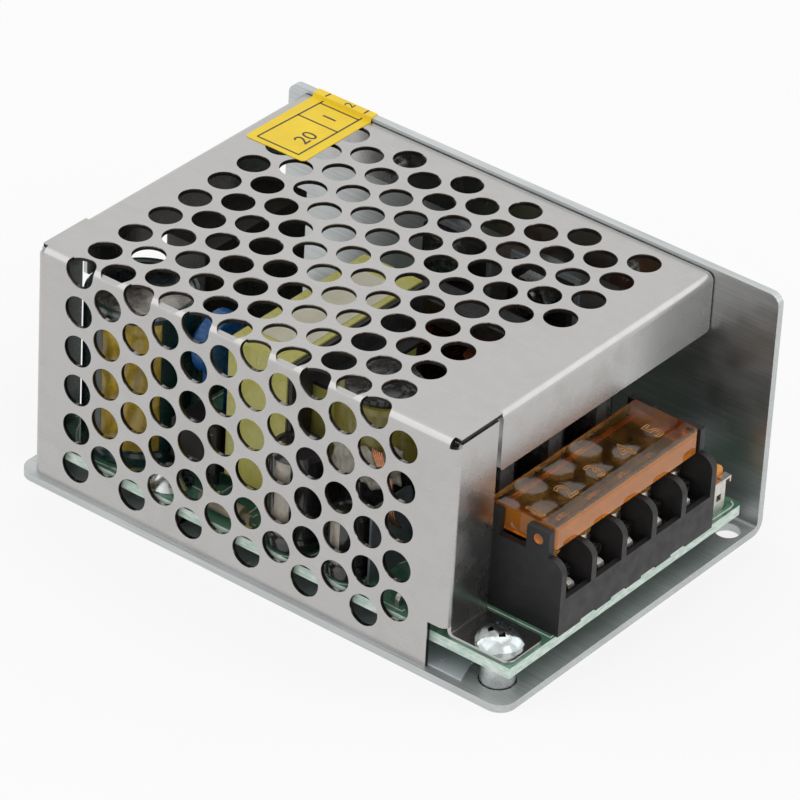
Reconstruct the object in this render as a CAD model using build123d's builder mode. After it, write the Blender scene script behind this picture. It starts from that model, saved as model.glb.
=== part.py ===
"""Enclosed switching power supply, 84 x 58 x 38 mm.

An L-shaped chassis of folded sheet (base and far wall) carries the circuit board on four
pressed standoffs. A perforated cover, one folded sheet, closes the top and the near side.
The five-way terminal block stands in the open bay at the front, under a hinged clear cover.

Millimetres. The origin is the centre of the underside of the base. +X runs to the terminal
end, +Y to the solid far wall, and +Z is up.
"""

import os
from math import pi

from build123d import *

os.makedirs("parts", exist_ok=True)

# Overall size
length = 84.0
width = 58.0
height = 38.0

# Chassis sheet
chassis_t = 1.2
chassis_bend = 0.8
base_corner_r = 2.5
wall_corner_r = 1.6
mount_hole_d = 3.6
mount_hole_edge = 2.5
mount_hole_from_wall = 3.4

# Perforated cover
cover_t = 0.6
cover_bend = 0.6
cover_inset = 0.7
cover_below_wall = 0.6
cover_back_margin = 2.4
front_bay = 10.5
cover_wall_gap = 0.2
lip_height = 9.0
lip_corner_r = 0.7
return_width = 8.9
return_top_gap = 0.15
slit = 0.9
flange_height = 8.0
flange_end_gap = 3.5
flange_screw_drop = 4.8
notch_length = 3.0
notch_rise = 1.2
foot_margin = 0.9
foot_relief = 0.6
foot_corner_r = 1.2

# Perforation of the cover, staggered rows
hole_d = 4.7
hole_pitch = 10.0
hole_row = 3.1
first_hole_from_back = 12.6
top_row_zero = 8.3
side_row_zero = 10.4

# Circuit board, standoffs and insulating film
standoff_height = 3.8
standoff_d = 4.8
standoff_hole_d = 5.2
standoff_inset = 4.8
near_standoff_inset = 4.3
far_standoff_inset = 4.0
corner_standoff_inset = 4.1
near_back_standoff_from_end = 23.0
tapping_d = 2.6
board_t = 1.6
board_side_gap = 0.3
board_back_gap = 0.3
board_wall_gap = 3.5
board_front_margin = 0.55
board_chamfer = 0.5
board_hole_d = 3.2
film_t = 0.25
film_front_margin = 8.0
film_chamfer = 4.0

# Pan-head screws of the board and the foot
screw_d = 2.5
screw_clearance_d = 3.2
screw_head_d = 6.6
screw_head_h = 2.1
screw_length = 6.0
recess_w = 0.9
recess_l = 3.4
recess_depth = 1.2

# Countersunk screws of the far wall
flat_head_d = 5.2
flat_screw_length = 5.5
flange_screws_x = (-22.0, 18.0)

# Terminal block
ways = 5
way_pitch = 6.66
block_wall = 1.1
block_depth = 14.5
block_front_margin = 0.2
block_centre_y = -0.4
block_wall_h = 11.4
block_sill_h = 5.5
block_floor_h = 4.0
block_round = 2.0
divider_drop = 0.6
sill_t = 0.8
ear_h = 3.7
front_ear = (2.4, 6.1)
rear_ear_depth = 4.0
foot_notch_h = 0.35
foot_notch_l = 3.3

# Terminal contacts, saddle washers and screws
contact_t = 0.8
contact_inset = 0.5
contact_front_gap = 3.1
clamp_t = 1.0
clamp_l = 6.4
clamp_lift = 1.0
terminal_screw_d = 2.9
terminal_head_d = 4.8
terminal_head_h = 2.6
terminal_screw_from_front = 6.2

# Hinged terminal cover
lid_t = 1.2
lid_skirt_t = 1.0
lid_skirt_h = 3.65
lid_side_gap = 0.2
lid_length = 10.7
lid_corner_r = 0.8
hinge_d = 1.55
hinge_play = 0.08
hinge_above_wall = 2.15
hinge_from_front = 4.25
hinge_from_lid_front = 1.8
hinge_above_skirt = 1.8

# Voltage trimmer beside the terminal block
trimmer_y = 20.3
trimmer_w = 4.6
trimmer_h = 6.6
trimmer_plate_t = 0.9
trimmer_rotor_d = 3.4
trimmer_axis_h = 2.3
trimmer_window = 1.0
bracket_t = 0.3
bracket_w = 2.9
bracket_h = 4.8
bracket_corner_r = 0.8
bracket_from_front = 1.25
tab_w = 1.8
hook_h = 1.0

# Date label, folded over the wall
label_t = 0.1
label_w = 10.4
label_corner_r = 0.6
label_from_back = 7.2
label_reach = 14.8
label_drop = 8.0

# Levels and faces worked out from the sizes above
board_z = chassis_t + standoff_height
board_top = board_z + board_t
front_x = length / 2 - front_bay
back_x = -length / 2 + cover_back_margin
near_y = -width / 2 + cover_inset
wall_y = width / 2 - chassis_t
cover_top = height - cover_below_wall
cover_under = cover_top - cover_t
cover_edge_y = wall_y - cover_wall_gap
fold_r = cover_bend + cover_t
board_front = length / 2 - board_front_margin
board_back = back_x + cover_t + board_back_gap
board_near = near_y + cover_t + board_side_gap
board_far = wall_y - board_wall_gap
near_standoff_y = near_y + near_standoff_inset
standoff_places = [
    (length / 2 - standoff_inset, near_standoff_y),
    (-length / 2 + near_back_standoff_from_end, near_standoff_y),
    (board_back + corner_standoff_inset, board_far - corner_standoff_inset),
    (front_x - standoff_inset, board_far - far_standoff_inset),
]
block_front = length / 2 - block_front_margin
block_back = block_front - block_depth

# Room behind the terminal block that the board parts below are laid out for: along, across
# and up. In a smaller case they shrink together, and their places always follow the room.
layout_room = (66.0, 51.7, 30.2)
room = (block_back - board_back, board_far - board_near, cover_under - board_top)
room_ratio = [own / planned for own, planned in zip(room, layout_room)]
fit = min(1, *room_ratio)


def spot(along, across):
    """Place on the board, from its near back corner, moved with the room that the case leaves."""
    return board_back + along * room_ratio[0], board_near + across * room_ratio[1]


# Clearance between parts that stand side by side, and wire of the component leads
play = 0.2
lead_d = 0.7
lead_t = 0.5

# Big input capacitor
input_can_r = 8.0 * fit
input_can_h = 24.0 * fit
input_can_at = spot(9.4, 9.2)

# Transformer: core ring upright across the board, winding round its middle leg
core_l = 28.0 * fit
core_w = 10.8 * fit
core_h = 21.0 * fit
core_leg = 4.4 * fit
core_mid_leg = 7.4 * fit
core_at = spot(31.9, 20.8)
core_lift = 3.4 * fit
coil_w = 18.6 * fit
coil_reach = 4.2 * fit
bobbin_t = 0.8
bobbin_margin = 0.6
bobbin_foot_w = 3.6 * fit
tape_t = 0.3
tape_w = 10.0 * fit

# Output capacitors in a row behind the terminal block, and two small ones at the side
output_can_r = 5.0 * fit
output_can_h = 20.0 * fit
output_cans_at = (spot(60.1, 18.2), spot(60.1, 28.8), spot(60.1, 39.4))
small_cans = (
    (spot(40.8, 4.3), 4.0 * fit, 15.0 * fit),
    (spot(50.7, 3.1), 2.9 * fit, 10.0 * fit),
)

# Output inductor: drum core on a high foot, taped winding
inductor_at = spot(48.3, 12.2)
inductor_r = 6.4 * fit
inductor_flange_r = 5.2 * fit
inductor_core_r = 3.0 * fit
inductor_foot_h = 13.6 * fit
inductor_h = 24.6 * fit
inductor_flange_t = 1.0

# Coated discs: safety capacitor and thermistor
disc_at = spot(19.7, 12.8)
disc_r = 4.6 * fit
disc_t = 3.2 * fit
disc_lift = 13.5 * fit
thermistor_at = spot(1.7, 18.6)
thermistor_r = 3.2 * fit
thermistor_t = 2.6 * fit
thermistor_lift = 9.0 * fit

# Line filter: boxed film capacitor at the back end, and the choke beyond the transformer
box_at = spot(6.2, 32.8)
box_size = (8.0 * fit, 21.4 * fit, 24.0 * fit)
choke_at = spot(39.7, 41.7)
choke_l = 17.0 * fit
choke_w = 12.4 * fit
choke_h = 19.0 * fit
choke_leg = 3.6 * fit
choke_core_t = 5.0 * fit
choke_coil_w = 6.8 * fit
choke_coil_r = 1.8 * fit
choke_base_t = 1.5
choke_base_margin = 1.5 * fit

# Small parts
bridge_at = spot(22.0, 7.4)
bridge_size = (7.8 * fit, 4.0 * fit, 7.6 * fit)
bridge_bevel = 1.6 * fit
bridge_lift = 2.8
bridge_lead_inset = 1.4 * fit
fuse_at = spot(15.3, 33.8)
fuse_r = 4.2 * fit
fuse_h = 7.6 * fit
opto_at = spot(50.0, 23.8)
opto_size = (4.6 * fit, 6.4 * fit, 3.4 * fit)
resistor_r = 1.2 * fit
resistor_l = 6.2 * fit
resistors_at = (spot(61.3, 11.0), spot(30.1, 2.6), spot(55.7, 48.6))
jumpers = ((spot(60.1, 2.0), 5.6 * fit), (spot(67.3, 2.8), 5.0 * fit))

# Power devices on the far wall
device_x = (spot(27.7, 0)[0], spot(42.7, 0)[0])
device_w = 10.2 * fit
device_body_h = 9.2 * fit
device_body_t = 4.5
device_tab_h = 15.6 * fit
device_tab_t = 1.3
device_lift = 4.2
device_hole_h = 12.9 * fit
device_hole_d = 3.2
lead_pitch = 2.54 * fit
pad_t = 0.3
pad_margin = 0.8
nut_w = 5.5
nut_h = 2.4


def box_between(low, high):
    """A plain block from its lowest corner to its highest, made outside any builder."""
    size = [b - a for a, b in zip(low, high)]
    return Pos(*low) * Box(*size, align=(Align.MIN, Align.MIN, Align.MIN), mode=Mode.PRIVATE)


def sheet_section(plane, inside_line, side, sheet=cover_t, bend=cover_bend):
    """Section of a bent sheet or strip: its inner line, rounded at the bends and thickened."""
    with BuildSketch(plane) as section:
        with BuildLine():
            FilletPolyline(*inside_line, radius=bend)
            offset(amount=sheet, side=side)
        make_face()
    return section.sketch


def save(builder, name):
    """Name the finished piece and write it."""
    builder.part.label = name
    export_step(builder.part, f"parts/{name}.step")


# Chassis: base and far wall, one folded sheet
mount_x = length / 2 - mount_hole_edge
mount_y = wall_y - mount_hole_from_wall
flange_screw_z = cover_top - flange_screw_drop
device_hole_z = board_top + device_lift + device_hole_h
wall_screws = [(x, flange_screw_z) for x in flange_screws_x] + [(x, device_hole_z) for x in device_x]

with BuildPart() as chassis:
    extrude(
        sheet_section(
            Plane.YZ.offset(-length / 2),
            [(-width / 2, chassis_t), (wall_y, chassis_t), (wall_y, height)],
            Side.RIGHT,
            chassis_t,
            chassis_bend,
        ),
        amount=length,
    )
    near_corners = chassis.edges().filter_by(Axis.Z).group_by(Axis.Y)[0]
    fillet(near_corners, radius=base_corner_r)
    wall_corners = chassis.edges().filter_by(Axis.Y).group_by(Axis.Z)[-1]
    fillet(wall_corners, radius=wall_corner_r)
    # mounting holes at both ends of the base, beside the wall
    with Locations((mount_x, mount_y, chassis_t), (-mount_x, mount_y, chassis_t)):
        Hole(mount_hole_d / 2, depth=chassis_t)
    # holes that the standoffs are pressed into
    with Locations(*[(x, y, chassis_t) for x, y in standoff_places]):
        Hole(standoff_hole_d / 2, depth=chassis_t)
    # countersunk holes of the far wall
    outer_face = Plane((0, width / 2, 0), x_dir=(-1, 0, 0), z_dir=(0, 1, 0))
    with Locations(*[outer_face.location * Pos(-x, z, 0) for x, z in wall_screws]):
        CounterSinkHole(screw_clearance_d / 2, flat_head_d / 2, depth=chassis_t)
save(chassis, "chassis")

# Perforated cover: top and near side with returned ends, one folded sheet
hole_x = [back_x + first_hole_from_back + hole_pitch / 2 * i for i in range(-1, 11)]
top_zero_y = near_y + top_row_zero
side_zero_z = cover_top - side_row_zero


def columns(row, full):
    """Hole columns of one staggered row: odd rows start half a pitch back."""
    first = -1 if row % 2 else 0
    last = 10 if full else 8
    return [hole_x[i + 1] for i in range(first, last + 1, 2)]


top_holes = [(x, top_zero_y + hole_row * j) for j in range(-2, 15) for x in columns(j, j % 2 or j > 7)]
side_holes = [(x, side_zero_z - hole_row * k) for k in range(-2, 8) for x in columns(k, True)]
fold_row = 3
fold_z = side_zero_z + hole_row * fold_row
# the row on the fold keeps its place on the flat sheet, so its cut from above starts outside
bend_arc = pi / 2 * (cover_bend + cover_t / 2)
fold_y = near_y + fold_r - (bend_arc - (fold_z - cover_top + fold_r))
return_y = near_y + return_width
lip_y = return_y + slit
foot_z = board_top + cover_t
foot_x = length / 2 - foot_margin
foot_y = near_y + cover_t + foot_relief
flange_length = front_x - back_x - 2 * flange_end_gap

with BuildPart() as perforated_cover:
    # top and near side
    extrude(
        sheet_section(
            Plane.YZ.offset(back_x + fold_r),
            [
                (near_y + cover_t, chassis_t),
                (near_y + cover_t, cover_under),
                (cover_edge_y, cover_under),
            ],
            Side.LEFT,
        ),
        amount=front_x - back_x - 2 * fold_r,
    )
    # far edge folded down inside the wall
    extrude(
        sheet_section(
            Plane.YZ.offset(back_x + flange_end_gap),
            [
                (cover_edge_y - 2 * fold_r, cover_under),
                (cover_edge_y - cover_t, cover_under),
                (cover_edge_y - cover_t, cover_top - flange_height),
            ],
            Side.LEFT,
        ),
        amount=flange_length,
    )
    # side turned round both ends into upright returns
    extrude(
        sheet_section(
            Plane.XY.offset(chassis_t),
            [
                (back_x + cover_t, return_y),
                (back_x + cover_t, near_y + cover_t),
                (front_x - cover_t, near_y + cover_t),
                (front_x - cover_t, return_y),
            ],
            Side.RIGHT,
        ),
        amount=cover_top - fold_r - chassis_t,
    )
    # upper ends of the returns, beside the corner reliefs
    return_low = cover_top - fold_r
    return_high = cover_under - return_top_gap
    for x in (back_x, front_x - cover_t):
        add(box_between((x, near_y + fold_r, return_low), (x + cover_t, return_y, return_high)))
    # notch over the board's front corner
    add(
        box_between(
            (front_x - notch_length, near_y, chassis_t), (front_x, return_y, foot_z + notch_rise)
        ),
        mode=Mode.SUBTRACT,
    )
    # foot on the board, folded out of the front return
    extrude(
        sheet_section(
            Plane.XZ.offset(-return_y),
            [(front_x, foot_z + 2 * fold_r), (front_x, foot_z), (foot_x, foot_z)],
            Side.RIGHT,
        ),
        amount=return_y - foot_y,
    )
    foot_corners = perforated_cover.edges().filter_by(Axis.Z).group_by(Axis.X)[-1]
    fillet(foot_corners, radius=foot_corner_r)
    # top turned down at both ends into the lips
    extrude(
        sheet_section(
            Plane.XZ.offset(-cover_edge_y),
            [
                (back_x + cover_t, cover_top - lip_height),
                (back_x + cover_t, cover_under),
                (front_x - cover_t, cover_under),
                (front_x - cover_t, cover_top - lip_height),
            ],
            Side.LEFT,
        ),
        amount=cover_edge_y - lip_y,
    )
    lip_corners = (
        perforated_cover.edges()
        .filter_by(Axis.X)
        .filter_by_position(Axis.Z, cover_top - lip_height - 0.01, cover_top - lip_height + 0.01)
    )
    fillet(lip_corners, radius=lip_corner_r)
    # flat strips of the top over the returns, up to the slits
    strip_gap = slit / 4
    strip_near = near_y + fold_r
    add(box_between((front_x - fold_r, strip_near, cover_under), (front_x - strip_gap, lip_y, cover_top)))
    add(box_between((back_x + strip_gap, strip_near, cover_under), (back_x + fold_r, lip_y, cover_top)))
    # perforation of the top, of the side and across the fold
    with BuildSketch(Plane.XY.offset(cover_top)):
        with Locations(*top_holes):
            Circle(hole_d / 2)
    extrude(amount=-cover_t, mode=Mode.SUBTRACT)
    with BuildSketch(Plane.XZ.offset(-near_y)):
        with Locations(*side_holes):
            Circle(hole_d / 2)
    extrude(amount=-cover_t, mode=Mode.SUBTRACT)
    with BuildSketch(Plane.XZ.offset(-near_y)):
        with Locations(*[(x, fold_z) for x in columns(fold_row, True)]):
            Circle(hole_d / 2)
    extrude(amount=-fold_r, mode=Mode.SUBTRACT)
    with BuildSketch(Plane.XY.offset(cover_top)):
        with Locations(*[(x, fold_y) for x in columns(fold_row, True)]):
            Circle(hole_d / 2)
    extrude(amount=-fold_r, mode=Mode.SUBTRACT)
    # screw holes of the foot and of the far flange
    with Locations((*standoff_places[0], foot_z)):
        Hole(board_hole_d / 2, depth=cover_t)
    with BuildSketch(Plane.XZ.offset(-cover_edge_y)):
        with Locations(*[(x, flange_screw_z) for x in flange_screws_x]):
            Circle(tapping_d / 2)
    extrude(amount=cover_t, mode=Mode.SUBTRACT)
save(perforated_cover, "perforated_cover")

# Standoffs: pressed into the base from below, with a narrower barrel above it
with BuildPart() as board_standoffs:
    with BuildSketch():
        with Locations(*standoff_places):
            Circle(standoff_hole_d / 2)
            Circle(tapping_d / 2, mode=Mode.SUBTRACT)
    extrude(amount=chassis_t - 0.3)
    with BuildSketch():
        with Locations(*standoff_places):
            Circle(standoff_d / 2)
            Circle(tapping_d / 2, mode=Mode.SUBTRACT)
    extrude(amount=board_z)
save(board_standoffs, "board_standoffs")

# Circuit board
with BuildPart() as circuit_board:
    with BuildSketch(Plane.XY.offset(board_z)) as board_outline:
        with Locations(((board_back + board_front) / 2, (board_near + board_far) / 2)):
            Rectangle(board_front - board_back, board_far - board_near)
        front_far_corner = board_outline.vertices().sort_by(Axis.X)[-2:].sort_by(Axis.Y)[-1]
        chamfer(front_far_corner, length=board_chamfer)
        with Locations(*standoff_places):
            Circle(board_hole_d / 2, mode=Mode.SUBTRACT)
    extrude(amount=board_t)
save(circuit_board, "circuit_board")

# Insulating film on the base, under the board
film_near = -width / 2 + cover_inset + cover_t + 0.1
with BuildPart() as insulation_film:
    with BuildSketch(Plane.XY.offset(chassis_t)) as film_outline:
        with BuildLine():
            Polyline(
                (board_back, film_near),
                (length / 2 - film_front_margin, film_near),
                (length / 2 - film_front_margin - film_chamfer / 3, film_near + film_chamfer),
                (length / 2 - film_front_margin - film_chamfer / 3, board_far),
                (board_back, board_far),
                close=True,
            )
        make_face()
        with Locations(*standoff_places):
            Circle(standoff_hole_d / 2 + 0.4, mode=Mode.SUBTRACT)
    extrude(amount=film_t)
save(insulation_film, "insulation_film")


def pan_screw(domed):
    """One pan-head screw hanging from the origin: domed or bevelled head above, shank below."""
    rim = (screw_head_d / 2, screw_head_h / 6)
    shoulder = (screw_head_d * 0.36, screw_head_h * 0.72)
    crown = (0, screw_head_h)
    with BuildPart() as screw:
        with BuildSketch(Plane.XZ):
            with BuildLine():
                if domed:
                    ThreePointArc(crown, shoulder, rim)
                else:
                    Polyline(crown, (recess_l / 2, screw_head_h), rim)
                Polyline(
                    rim,
                    (screw_head_d / 2, 0),
                    (screw_d / 2, 0),
                    (screw_d / 2, -screw_length),
                    (0, -screw_length),
                    crown,
                )
            make_face()
        revolve(axis=Axis.Z)
        for turn in (45, 135):
            with BuildSketch(Plane.XY.offset(screw_head_h)):
                Rectangle(recess_l, recess_w, rotation=turn)
            extrude(amount=-recess_depth, mode=Mode.SUBTRACT)
    return screw.part


with BuildPart() as cover_screw:
    with Locations((*standoff_places[0], foot_z)):
        add(pan_screw(True))
save(cover_screw, "cover_screw")

with BuildPart() as board_screws:
    with Locations(*[(x, y, board_top) for x, y in standoff_places[1:]]):
        add(pan_screw(False))
save(board_screws, "board_screws")


def flat_screw(reach):
    """One countersunk screw along -Y from the origin, its head flush with the wall's outer face."""
    sink = (flat_head_d - screw_d) / 2 - 0.1
    with BuildPart() as screw:
        with BuildSketch(Plane.YZ):
            with BuildLine():
                Polyline(
                    (0, 0),
                    (0, flat_head_d / 2 - 0.1),
                    (-sink, screw_d / 2),
                    (-reach, screw_d / 2),
                    (-reach, 0),
                    close=True,
                )
            make_face()
        revolve(axis=Axis.Y)
        for turn in (0, 90):
            with BuildSketch(Plane.XZ):
                Rectangle(recess_l * 0.8, recess_w * 0.8, rotation=turn)
            extrude(amount=recess_depth * 0.6, mode=Mode.SUBTRACT)
    return screw.part


with BuildPart() as flange_screws:
    with Locations(*[(x, width / 2, flange_screw_z) for x in flange_screws_x]):
        add(flat_screw(chassis_t + cover_wall_gap + cover_t + 1.0))
save(flange_screws, "flange_screws")

with BuildPart() as device_screws:
    with Locations(*[(x, width / 2, device_hole_z) for x in device_x]):
        add(flat_screw(flat_screw_length))
save(device_screws, "device_screws")

# Terminal block housing: end walls with ears, dividers, floor and front sill
block_half = (ways * way_pitch + block_wall) / 2
block_near = block_centre_y - block_half
block_far = block_centre_y + block_half
wall_top = board_top + block_wall_h
divider_y = [block_near + way_pitch * i for i in range(ways + 1)]
way_y = [y + (way_pitch + block_wall) / 2 for y in divider_y[:-1]]
hinge_x = block_front - hinge_from_front
hinge_z = wall_top + hinge_above_wall
ear_x = (block_front - front_ear[1], block_front - front_ear[0])
floor_z = board_top + block_floor_h

with BuildPart() as terminal_housing:
    # end walls, and lower walls between the ways, rounded at the front
    for y in divider_y:
        drop = 0 if y in (divider_y[0], divider_y[-1]) else divider_drop
        with BuildSketch(Plane.XZ.offset(-y - block_wall)) as divider:
            with Locations(((block_back + block_front) / 2, (board_top + wall_top - drop) / 2)):
                Rectangle(block_depth, block_wall_h - drop)
            fillet(divider.vertices().sort_by(Axis.X)[-2:].sort_by(Axis.Y)[-1], radius=block_round)
        extrude(amount=block_wall)
    # ears of the two end walls
    for y in (divider_y[0], divider_y[-1]):
        add(box_between((ear_x[0], y, wall_top - 1), (ear_x[1], y + block_wall, wall_top + ear_h)))
        add(
            box_between(
                (block_back, y, wall_top - 1), (block_back + rear_ear_depth, y + block_wall, wall_top + ear_h)
            )
        )
    # floor, front sill and back wall
    add(box_between((block_back, block_near, board_top), (block_front, block_far, floor_z)))
    add(
        box_between(
            (block_front - sill_t, block_near, board_top), (block_front, block_far, board_top + block_sill_h)
        )
    )
    add(box_between((block_back, block_near, board_top), (block_back + 1.2, block_far, wall_top)))
    # shallow notches along the foot
    for y in divider_y[1:-1]:
        add(
            box_between(
                (block_back, y - foot_notch_l / 2, board_top),
                (block_front, y + foot_notch_l / 2, board_top + foot_notch_h),
            ),
            mode=Mode.SUBTRACT,
        )
    # hinge holes through the front ears
    with BuildSketch(Plane.XZ.offset(-block_far)):
        with Locations((hinge_x, hinge_z)):
            Circle(hinge_d / 2 + hinge_play)
    extrude(amount=block_far - block_near, mode=Mode.SUBTRACT)
save(terminal_housing, "terminal_housing")

# Contacts: a plate in each way, with its pin down through the floor to the board
contact_w = way_pitch - block_wall - 2 * contact_inset
contact_top = floor_z + contact_t
screw_x = block_front - terminal_screw_from_front
contact_back = block_back + 2.0
contact_front = block_front - contact_front_gap
with BuildPart() as terminal_contacts:
    for y in way_y:
        add(
            box_between(
                (contact_back, y - contact_w / 2, floor_z), (contact_front, y + contact_w / 2, contact_top)
            )
        )
        with BuildSketch(Plane.XY.offset(contact_top)):
            with Locations((screw_x, y)):
                Circle(terminal_screw_d / 2)
        extrude(amount=-contact_t, mode=Mode.SUBTRACT)
save(terminal_contacts, "terminal_contacts")

# Saddle washers under the screw heads
clamp_z = contact_top + clamp_lift
with BuildPart() as terminal_clamps:
    for y in way_y:
        with BuildSketch(Plane.YZ.offset(screw_x - clamp_l / 2)):
            with BuildLine():
                Polyline(
                    (y - contact_w / 2, contact_top + 0.05),
                    (y - contact_w / 2, clamp_z + clamp_t),
                    (y + contact_w / 2, clamp_z + clamp_t),
                    (y + contact_w / 2, contact_top + 0.05),
                    (y + contact_w / 2 - clamp_t, clamp_z),
                    (y - contact_w / 2 + clamp_t, clamp_z),
                    close=True,
                )
            make_face()
        extrude(amount=clamp_l)
        with BuildSketch(Plane.XY.offset(clamp_z + clamp_t)):
            with Locations((screw_x, y)):
                Circle(terminal_screw_d / 2 + 0.1)
        extrude(amount=-clamp_t - clamp_lift, mode=Mode.SUBTRACT)
save(terminal_clamps, "terminal_clamps")

# Terminal screws
head_z = clamp_z + clamp_t
with BuildPart() as terminal_screws:
    for y in way_y:
        with BuildSketch(Plane.XY.offset(floor_z + 0.1)):
            with Locations((screw_x, y)):
                Circle(terminal_screw_d / 2)
        extrude(amount=head_z - floor_z - 0.1)
        with BuildSketch(Plane.XY.offset(head_z)):
            with Locations((screw_x, y)):
                Circle(terminal_head_d / 2)
        extrude(amount=terminal_head_h)
        for turn in (0, 90):
            with BuildSketch(Plane.XY.offset(head_z + terminal_head_h)):
                with Locations((screw_x, y)):
                    Rectangle(terminal_head_d * 0.7, recess_w, rotation=turn)
            extrude(amount=-recess_depth, mode=Mode.SUBTRACT)
save(terminal_screws, "terminal_screws")

# Hinged cover: a plate with a skirt on three sides and a pin at each end
lid_near = block_near + block_wall + lid_side_gap
lid_far = block_far - block_wall - lid_side_gap
lid_front = hinge_x + hinge_from_lid_front
lid_back = lid_front - lid_length
lid_low = hinge_z - hinge_above_skirt
lid_top = lid_low + lid_skirt_h
with BuildPart() as terminal_cover:
    add(box_between((lid_back, lid_near, lid_top - lid_t), (lid_front, lid_far, lid_top)))
    add(box_between((lid_front - lid_skirt_t, lid_near, lid_low), (lid_front, lid_far, lid_top - lid_t / 2)))
    add(box_between((lid_back, lid_near, lid_low), (lid_front, lid_near + lid_skirt_t, lid_top - lid_t / 2)))
    add(box_between((lid_back, lid_far - lid_skirt_t, lid_low), (lid_front, lid_far, lid_top - lid_t / 2)))
    front_edges = terminal_cover.faces().sort_by(Axis.X)[-1].edges()
    lid_corners = front_edges.filter_by(Axis.Z) + front_edges.filter_by(Axis.Y).sort_by(Axis.Z)[-1:]
    fillet(lid_corners, radius=lid_corner_r)
    pin_reach = lid_side_gap + block_wall - 0.1
    for y in (lid_near - pin_reach, lid_far - lid_skirt_t / 2):
        with BuildSketch(Plane.XZ.offset(-y - pin_reach - lid_skirt_t / 2)):
            with Locations((hinge_x, hinge_z)):
                Circle(hinge_d / 2)
        extrude(amount=pin_reach + lid_skirt_t / 2)
save(terminal_cover, "terminal_cover")

# Trimmer: phenolic plate, bent metal bracket with a window, and the rotor between them
bracket_x = board_front - bracket_from_front
rotor_z = board_top + trimmer_axis_h
with BuildPart() as trimmer_bracket:
    with BuildSketch(Plane.YZ.offset(bracket_x - bracket_t)) as bracket_face:
        with Locations((trimmer_y, board_top + bracket_h / 2)):
            Rectangle(bracket_w, bracket_h)
        fillet(bracket_face.vertices().group_by(Axis.Y)[0], radius=bracket_corner_r)
        with Locations((trimmer_y, rotor_z)):
            Rectangle(trimmer_window, trimmer_window, mode=Mode.SUBTRACT)
    extrude(amount=bracket_t)
    # tab turned back from the top, its far edge hooked down
    tab_near = trimmer_y + bracket_w / 2 - tab_w / 3
    tab_low = (bracket_x - tab_w * 0.6, tab_near, board_top + bracket_h - bracket_t)
    tab_high = (bracket_x, tab_near + tab_w, board_top + bracket_h)
    add(box_between(tab_low, tab_high))
    add(box_between((tab_low[0], tab_high[1] - bracket_t, tab_high[2] - hook_h), tab_high))
save(trimmer_bracket, "trimmer_bracket")

rotor_t = 0.7
rotor_back = bracket_x - bracket_t - 0.1 - rotor_t
with BuildPart() as trimmer_wiper:
    with BuildSketch(Plane.YZ.offset(rotor_back)):
        with Locations((trimmer_y, rotor_z)):
            Circle(trimmer_rotor_d / 2)
    extrude(amount=rotor_t)
    with BuildSketch(Plane.YZ.offset(rotor_back + rotor_t)):
        with Locations((trimmer_y, rotor_z)):
            Rectangle(trimmer_rotor_d * 0.7, 0.5)
            Rectangle(0.5, trimmer_rotor_d * 0.7)
    extrude(amount=-0.4, mode=Mode.SUBTRACT)
    with BuildSketch(Plane.YZ.offset(rotor_back)):
        with Locations((trimmer_y, rotor_z)):
            Circle(0.6)
    extrude(amount=-trimmer_plate_t)
save(trimmer_wiper, "trimmer_wiper")

plate_front = rotor_back - 0.1
with BuildPart() as trimmer_base:
    with BuildSketch(Plane.YZ.offset(plate_front - trimmer_plate_t)) as plate_outline:
        with Locations((trimmer_y, board_top + trimmer_h / 2)):
            Rectangle(trimmer_w, trimmer_h)
        fillet(plate_outline.vertices().group_by(Axis.Y)[-1], radius=trimmer_w * 0.35)
        with Locations((trimmer_y, rotor_z)):
            Circle(0.65, mode=Mode.SUBTRACT)
    extrude(amount=trimmer_plate_t)
save(trimmer_base, "trimmer_base")

# Date label: on the top, over the wall's upper edge and down its outer face
label_x = back_x + label_from_back
label_y = cover_edge_y - label_reach
with BuildPart() as date_label:
    with BuildSketch(Plane.YZ.offset(label_x - label_w / 2)):
        with BuildLine():
            Polyline(
                (label_y, cover_top),
                (cover_edge_y, cover_top),
                (wall_y, height),
                (width / 2, height),
                (width / 2, height - label_drop),
                (width / 2 + label_t, height - label_drop),
                (width / 2 + label_t, height + label_t),
                (wall_y - label_t / 2, height + label_t),
                (cover_edge_y - label_t / 2, cover_top + label_t),
                (label_y, cover_top + label_t),
                close=True,
            )
        make_face()
    extrude(amount=label_w)
    near_label_corners = date_label.edges().filter_by(Axis.Z).group_by(Axis.Y)[0]
    fillet(near_label_corners, radius=label_corner_r)
save(date_label, "date_label")


def can_capacitor(radius, tall):
    """Electrolytic capacitor: sleeved can with a rolled groove near the foot and a sunk top."""
    rim = 0.7
    with BuildPart() as can:
        with BuildSketch(Plane.XZ):
            with BuildLine():
                Polyline(
                    (0, 0),
                    (radius - 0.4, 0),
                    (radius, 0.5),
                    (radius, 1.6),
                    (radius - 0.4, 2.1),
                    (radius, 2.6),
                    (radius, tall - 0.5),
                    (radius - 0.4, tall),
                    (radius - rim - 0.2, tall),
                    (radius - rim - 0.4, tall - 0.3),
                    (0, tall - 0.3),
                    close=True,
                )
            make_face()
        revolve(axis=Axis.Z)
    return can.part


with BuildPart() as input_capacitor:
    with Locations((*input_can_at, board_top)):
        add(can_capacitor(input_can_r, input_can_h))
save(input_capacitor, "input_capacitor")

with BuildPart() as output_capacitors:
    with Locations(*[(x, y, board_top) for x, y in output_cans_at]):
        add(can_capacitor(output_can_r, output_can_h))
save(output_capacitors, "output_capacitors")

with BuildPart() as small_capacitors:
    for place, radius, tall in small_cans:
        with Locations((*place, board_top)):
            add(can_capacitor(radius, tall))
save(small_capacitors, "small_capacitors")

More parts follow.
